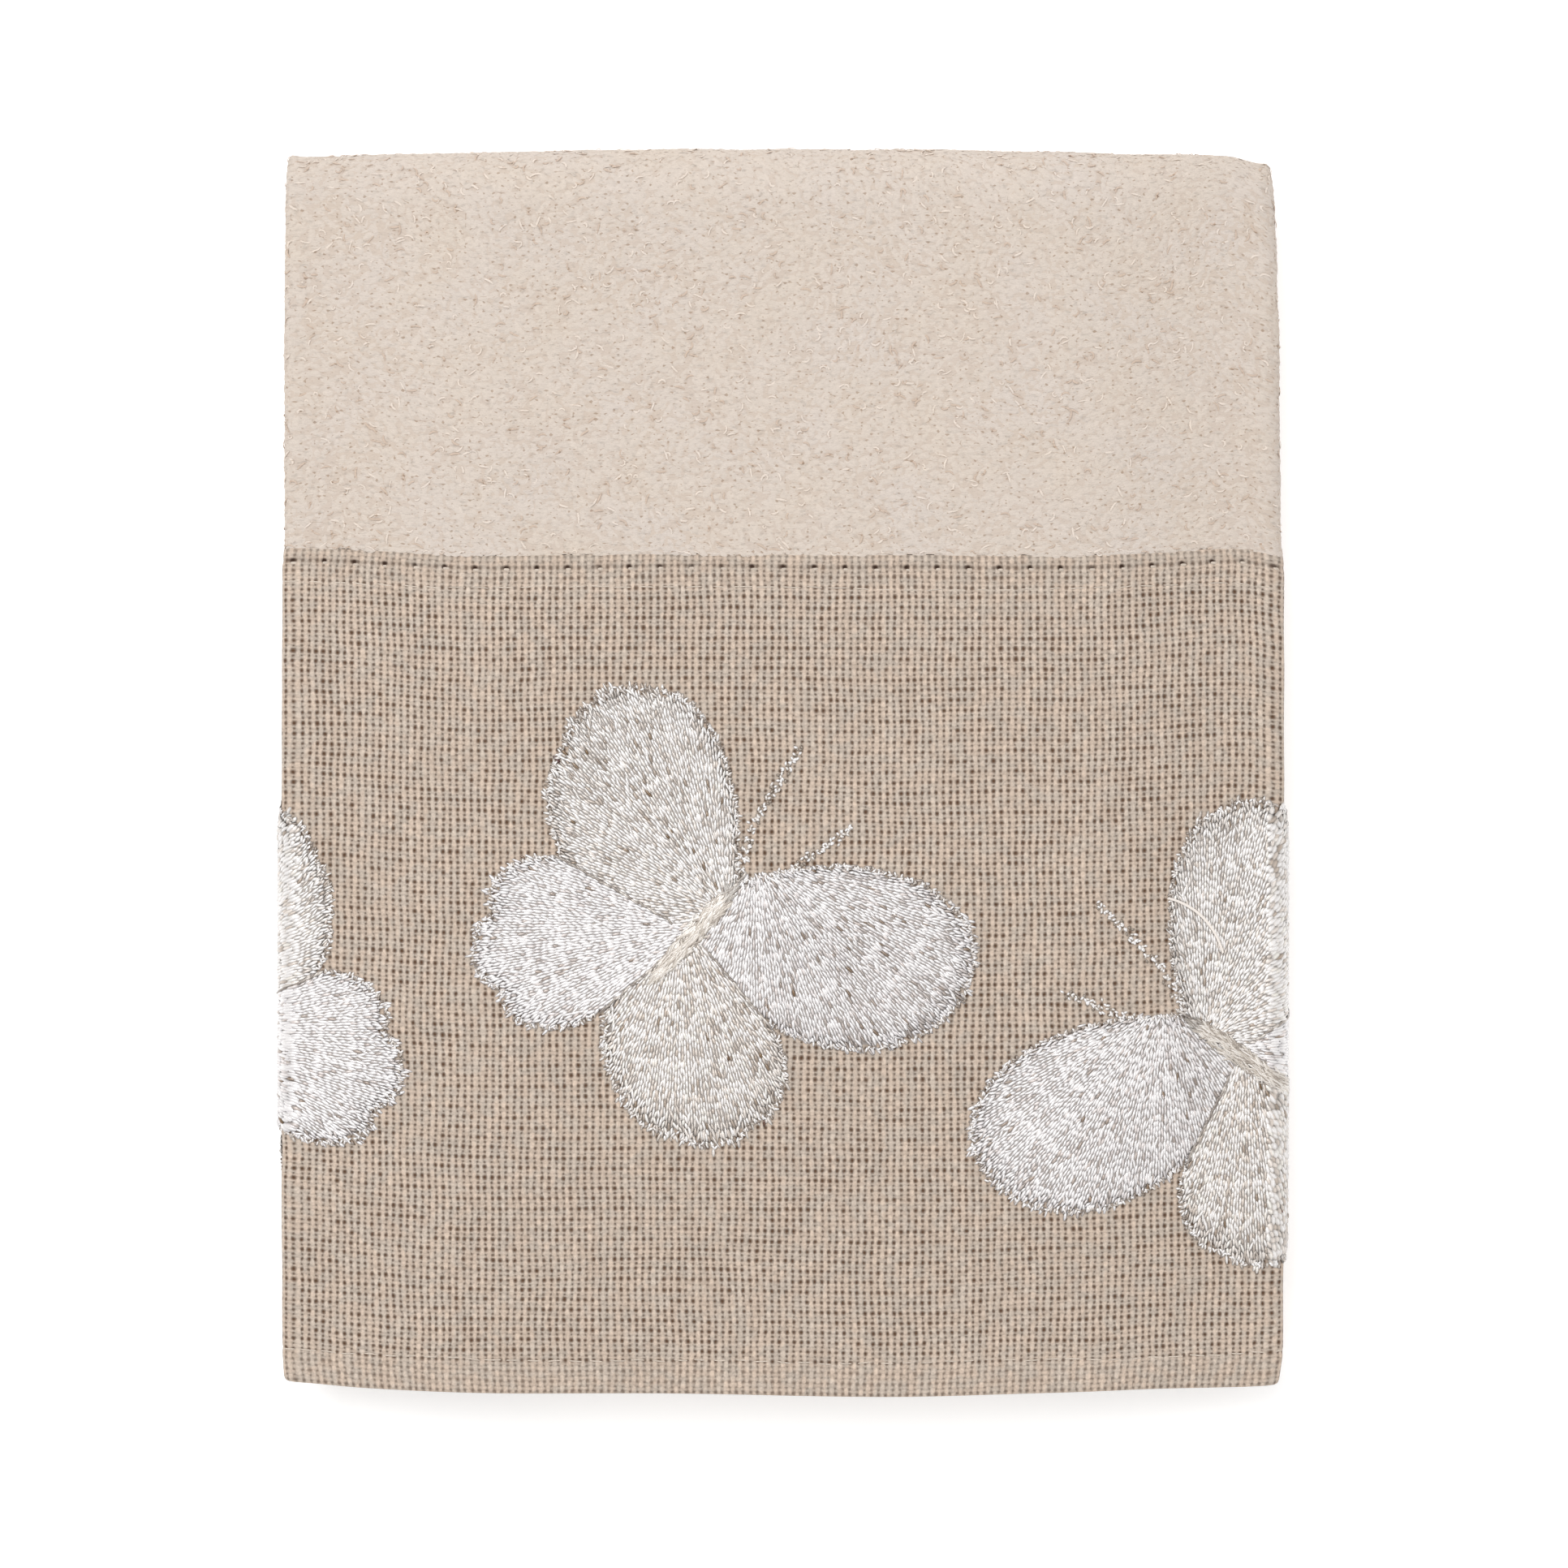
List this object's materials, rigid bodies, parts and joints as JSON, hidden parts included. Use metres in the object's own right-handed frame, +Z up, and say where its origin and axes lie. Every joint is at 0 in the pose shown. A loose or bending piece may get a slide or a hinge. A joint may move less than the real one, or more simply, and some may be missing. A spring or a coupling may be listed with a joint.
{
  "type": "folded washcloth",
  "caption": "Folded terry washcloth with a sewn-on linen band and embroidered butterflies, for washing and drying hands and face.",
  "frame": {"origin": "middle of the folded cloth's footprint, on the surface it lies on", "axes": "+X across the cloth, +Y from its hems towards its top fold, +Z up out of the face that shows"},
  "size_m": [0.1332, 0.1635, 0.0171],
  "materials": {
    "terry": "matt cream cotton terry with short looped pile on both faces",
    "linen": "matt taupe plain-weave linen with an open, slightly slubby weave",
    "thread": "lustrous off-white and silver embroidery thread in dense fill stitch"
  },
  "bodies": {
    "root": {"terry_cloth": "terry", "linen_band": "linen", "butterfly_left": "thread", "butterfly_centre": "thread", "butterfly_right": "thread"}
  },
  "joints": []
}
